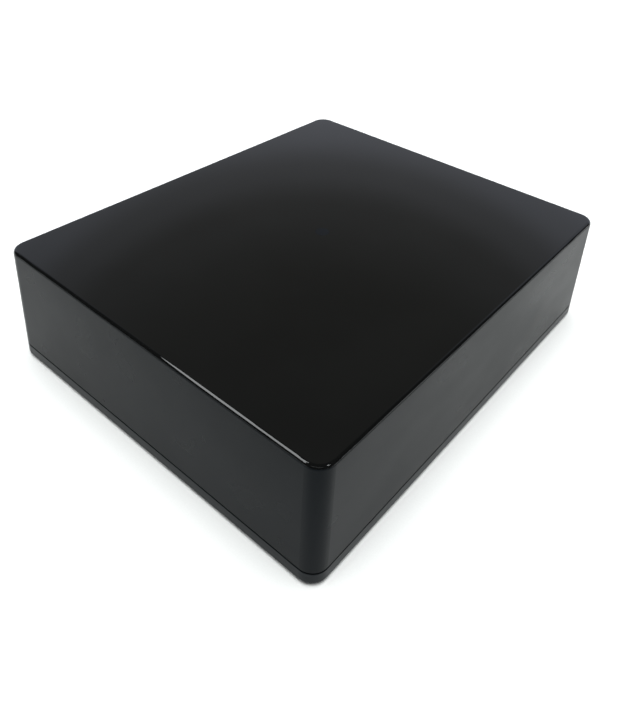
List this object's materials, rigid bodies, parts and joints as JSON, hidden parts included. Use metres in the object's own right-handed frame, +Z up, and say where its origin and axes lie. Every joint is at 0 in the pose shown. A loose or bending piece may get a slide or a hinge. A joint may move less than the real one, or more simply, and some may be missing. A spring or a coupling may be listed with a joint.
{
  "type": "flat-top demagnetizer",
  "caption": "Flat closed box with rounded corners, a glossy working top and a thin base cover; recessed rear bay with appliance inlet, rocker switch and turning fuse cap.",
  "frame": {"origin": "middle of the footprint, on the plane that the four feet rest on", "axes": "+Z up out of the working top; +Y towards the rear wall with the inlet, fuse and switch; +X to the right seen from the front"},
  "size_m": [0.1388, 0.1658, 0.0445],
  "materials": {
    "housing_black": "high-gloss top plate and rim, satin side walls, black ABS",
    "base_black": "satin black ABS",
    "smoked_lens": "polished smoked blue acrylic",
    "rubber_black": "matt moulded rubber",
    "foil_silver": "blank brushed foil",
    "zinc_steel": "zinc-plated steel",
    "enamelled_copper": "enamelled copper winding",
    "bobbin_natural": "natural glass-filled nylon",
    "winding_tape": "yellow polyester tape",
    "foam_grey": "closed-cell foam",
    "board_green": "green solder mask over glass-epoxy",
    "led_blue": "blue diffused epoxy",
    "component_black": "moulded epoxy",
    "ceramic_white": "unglazed ceramic",
    "film_yellow": "moulded polyester case",
    "choke_winding": "lacquered winding on a ferrite core",
    "terminal_green": "moulded nylon",
    "can_sleeve": "shrunk sleeve over an aluminium can",
    "tin_plate": "tinned brass tab",
    "nickel": "bright nickel plate",
    "brass_contact": "plain brass",
    "heat_sink_aluminium": "extruded, natural finish",
    "clear_glass": "clear tube",
    "connector_black": "textured nylon",
    "resistor_blue": "lacquered body",
    "lead_brown": "PVC insulation",
    "lead_blue": "PVC insulation",
    "lead_black": "PVC insulation",
    "lead_red": "silicone insulation",
    "sleeve_clear": "translucent PVC sleeve",
    "sheet_polyester": "milky polyester film",
    "tie_nylon": "natural nylon"
  },
  "bodies": {
    "housing": {"top_shell": "housing_black", "base_cover": "base_black", "base_screws": "zinc_steel", "rubber_feet": "rubber_black", "rating_label": "foil_silver", "light_pipe": "smoked_lens", "coil_bobbin": "bobbin_natural", "main_coil": "enamelled_copper", "sense_coil": "enamelled_copper", "coil_tape": "winding_tape", "coil_pad": "foam_grey", "bobbin_screws": "zinc_steel", "coil_leads": "lead_red", "led_board": "board_green", "indicator_led": "led_blue", "led_leads": "lead_black", "control_board": "board_green", "board_screws": "zinc_steel", "insulation_sheet": "sheet_polyester", "mains_terminal": "terminal_green", "coil_terminal": "terminal_green", "led_terminal": "connector_black", "line_choke": "choke_winding", "x_capacitor": "film_yellow", "bridge_rectifier": "component_black", "charge_resistor": "ceramic_white", "charge_capacitor": "can_sleeve", "supply_module": "component_black", "thyristor": "component_black", "heat_sink": "heat_sink_aluminium", "thyristor_screw": "zinc_steel", "control_chip": "component_black", "small_resistors": "resistor_blue", "storage_capacitor": "can_sleeve", "capacitor_terminals": "tin_plate", "capacitor_tie": "tie_nylon", "capacitor_leads": "lead_red", "inlet_socket": "connector_black", "inlet_pins": "nickel", "inlet_screws": "nickel", "inlet_nuts": "zinc_steel", "fuse_holder": "connector_black", "fuse_nut": "connector_black", "fuse_contacts": "tin_plate", "fuse_spring": "zinc_steel", "switch_frame": "connector_black", "switch_terminals": "brass_contact", "spade_sleeves": "sleeve_clear", "live_lead": "lead_brown", "fused_lead": "lead_brown", "switched_lead": "lead_brown", "neutral_lead": "lead_blue"},
    "rocker": {"power_rocker": "connector_black", "rocker_plunger": "brass_contact"},
    "switch_lever": {"contact_lever": "brass_contact"},
    "fuse_carrier": {"fuse_cap": "connector_black", "fuse_glass": "clear_glass", "fuse_end_caps": "nickel"}
  },
  "joints": [
    {"name": "rocker_tip", "type": "hinge", "parent": "housing", "child": "rocker", "pos_m": [0.014, 0.0735, 0.024], "axis": [1, 0, 0], "range_deg": [0, 20]},
    {"name": "lever_tip", "type": "hinge", "parent": "housing", "child": "switch_lever", "pos_m": [0.014, 0.0656, 0.024], "axis": [1, 0, 0], "range_deg": [-12, 0]},
    {"name": "fuse_cap_turn", "type": "hinge", "parent": "housing", "child": "fuse_carrier", "pos_m": [0.04, 0.0783, 0.024], "axis": [0, 1, 0], "range_deg": [0, 60]}
  ],
  "couplings": [
    {"joint": "lever_tip", "follows": "rocker_tip", "ratio": -0.6}
  ]
}
